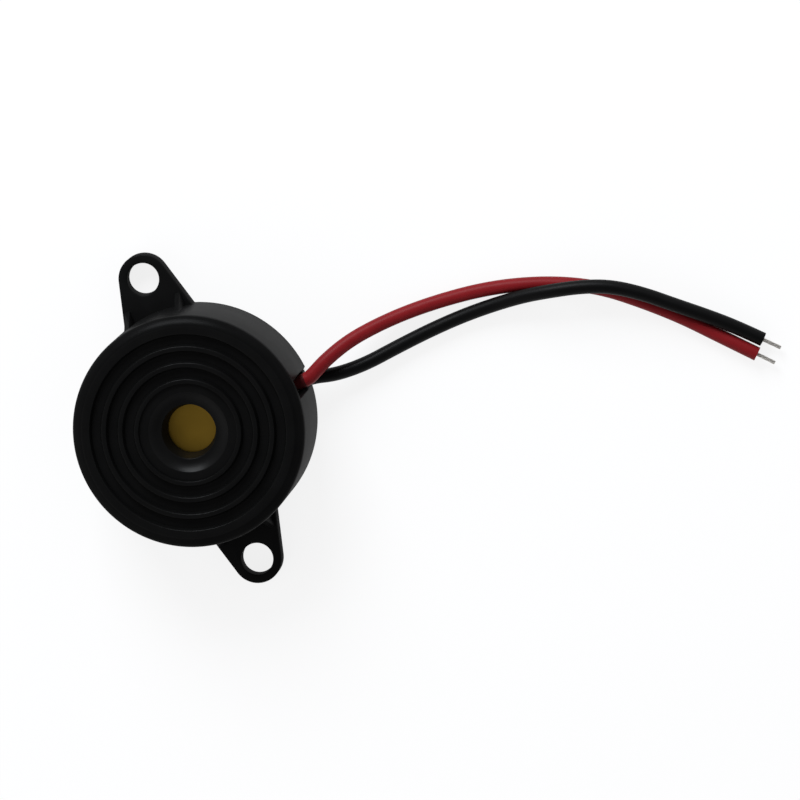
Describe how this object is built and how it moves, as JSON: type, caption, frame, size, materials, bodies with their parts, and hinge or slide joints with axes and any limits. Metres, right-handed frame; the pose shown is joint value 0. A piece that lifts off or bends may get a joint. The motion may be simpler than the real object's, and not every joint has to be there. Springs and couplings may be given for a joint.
{
  "type": "piezo buzzer",
  "caption": "Round black panel-mount piezo buzzer with a grooved sound face, brass diaphragm behind a funnel sound hole, opposite mounting ears and bare-ended red and black flying leads.",
  "frame": {"origin": "middle of the rear face, on the surface that the buzzer is fastened to", "axes": "+Z out of the sound face, +Y towards one mounting ear, +X towards the slot where the leads come out"},
  "size_m": [0.0677, 0.0348, 0.01],
  "materials": {
    "case_plastic": "moulded black plastic, semi-matt",
    "cover_plastic": "moulded black plastic, matt",
    "diaphragm_brass": "rolled sheet brass, dull",
    "piezo_ceramic": "fired silver on piezo ceramic",
    "silicone": "translucent white silicone",
    "board_laminate": "brown paper laminate",
    "ferrite": "sintered ferrite",
    "enamelled_copper": "enamelled copper wire",
    "tinned_metal": "tin plate",
    "transistor_resin": "moulded epoxy resin",
    "resistor_ceramic": "glazed black top on white alumina",
    "hookup_wire": "thin insulated wire",
    "solder": "bright solder",
    "sealant": "black silicone sealant",
    "red_insulation": "red PVC insulation, satin",
    "black_insulation": "black PVC insulation, satin",
    "tinned_strands": "tinned copper strands"
  },
  "bodies": {
    "root": {"housing": "case_plastic", "rear_cover": "cover_plastic", "brass_diaphragm": "diaphragm_brass", "ceramic_disc": "piezo_ceramic", "adhesive_ring": "silicone", "driver_board": "board_laminate", "coil_core": "ferrite", "coil_winding": "enamelled_copper", "coil_terminals": "tinned_metal", "transistor_body": "transistor_resin", "transistor_legs": "tinned_metal", "base_resistor": "resistor_ceramic", "feedback_resistor": "resistor_ceramic", "load_resistor": "resistor_ceramic", "resistor_end_caps": "tinned_metal", "diaphragm_wire": "hookup_wire", "ceramic_wire": "hookup_wire", "feedback_wire": "hookup_wire", "board_solder": "solder", "element_solder": "solder", "lead_sealant": "sealant", "red_lead": "red_insulation", "black_lead": "black_insulation", "red_lead_tip": "tinned_strands", "black_lead_tip": "tinned_strands", "red_lead_core_end": "tinned_strands", "black_lead_core_end": "tinned_strands"}
  },
  "joints": []
}
